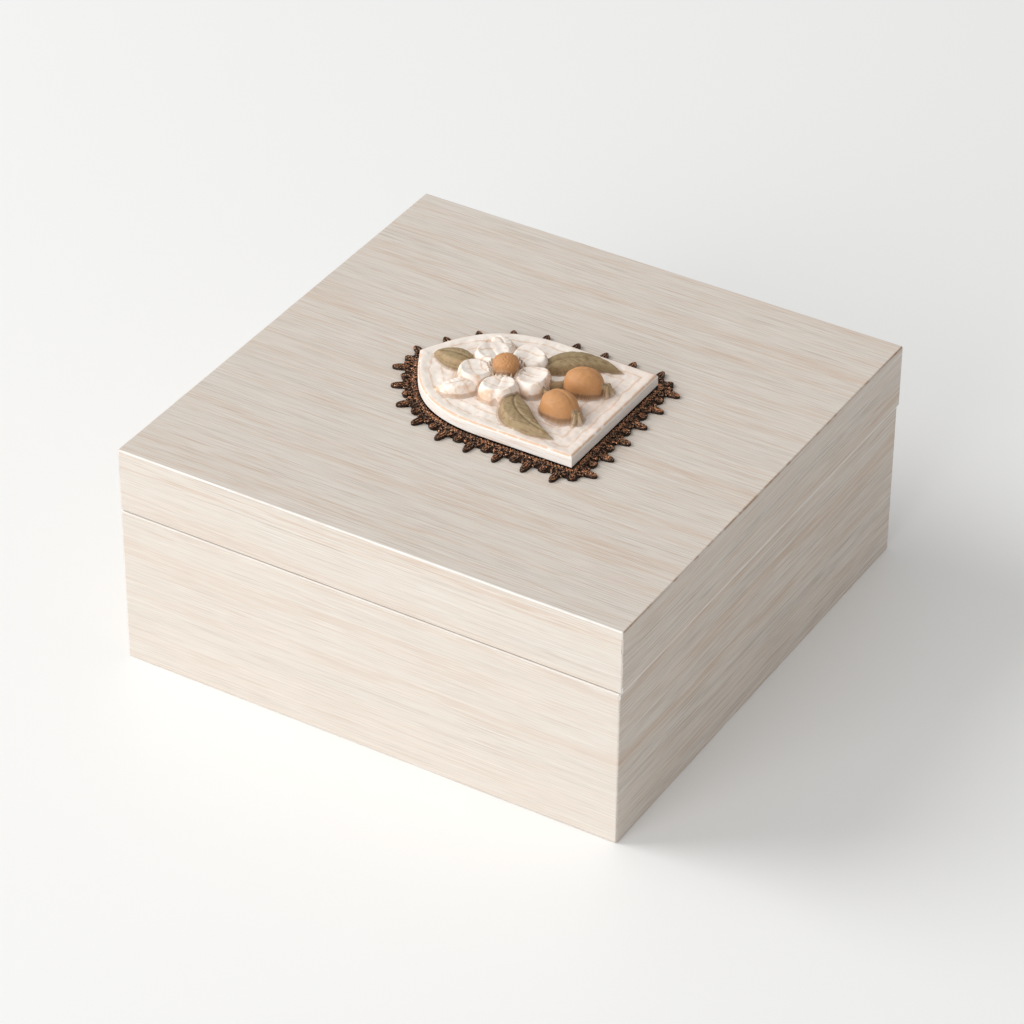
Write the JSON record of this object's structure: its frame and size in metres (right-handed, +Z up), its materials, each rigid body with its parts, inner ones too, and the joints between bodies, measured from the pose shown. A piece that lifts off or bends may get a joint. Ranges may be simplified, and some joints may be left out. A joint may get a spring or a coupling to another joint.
{
  "type": "hinged wooden keepsake box",
  "caption": "Square whitewashed wooden box with a hinged lid that carries a pointed-arch relief plaque on a dark metal lace trim.",
  "frame": {"origin": "middle of the underside", "axes": "+X to the box's right along the front, -Y to its front, +Y to its hinged back, +Z up"},
  "size_m": [0.2032, 0.2088, 0.1063],
  "materials": {
    "whitewashed_wood": "satin, brushed whitewash",
    "hinge_brass": "satin",
    "dark_trim_metal": "dark bronze, rubbed to copper on its high spots",
    "painted_resin": "matte, hand-painted cast resin"
  },
  "bodies": {
    "base": {"base_front": "whitewashed_wood", "base_right": "whitewashed_wood", "base_back": "whitewashed_wood", "base_left": "whitewashed_wood", "base_bottom": "whitewashed_wood", "hinge_left_pin": "hinge_brass", "hinge_left_base_leaf": "hinge_brass", "hinge_left_base_screw_1": "hinge_brass", "hinge_left_base_screw_2": "hinge_brass", "hinge_right_pin": "hinge_brass", "hinge_right_base_leaf": "hinge_brass", "hinge_right_base_screw_1": "hinge_brass", "hinge_right_base_screw_2": "hinge_brass"},
    "lid": {"lid_front": "whitewashed_wood", "lid_right": "whitewashed_wood", "lid_back": "whitewashed_wood", "lid_left": "whitewashed_wood", "lid_panel": "whitewashed_wood", "hinge_left_lid_leaf": "hinge_brass", "hinge_left_lid_screw_1": "hinge_brass", "hinge_left_lid_screw_2": "hinge_brass", "hinge_right_lid_leaf": "hinge_brass", "hinge_right_lid_screw_1": "hinge_brass", "hinge_right_lid_screw_2": "hinge_brass", "filigree_trim": "dark_trim_metal", "plaque": "painted_resin"}
  },
  "joints": [
    {"name": "lid_hinge", "type": "hinge", "parent": "base", "child": "lid", "pos_m": [0, 0.1042, 0.0644], "axis": [-1, 0, 0], "range_deg": [0, 95]}
  ]
}
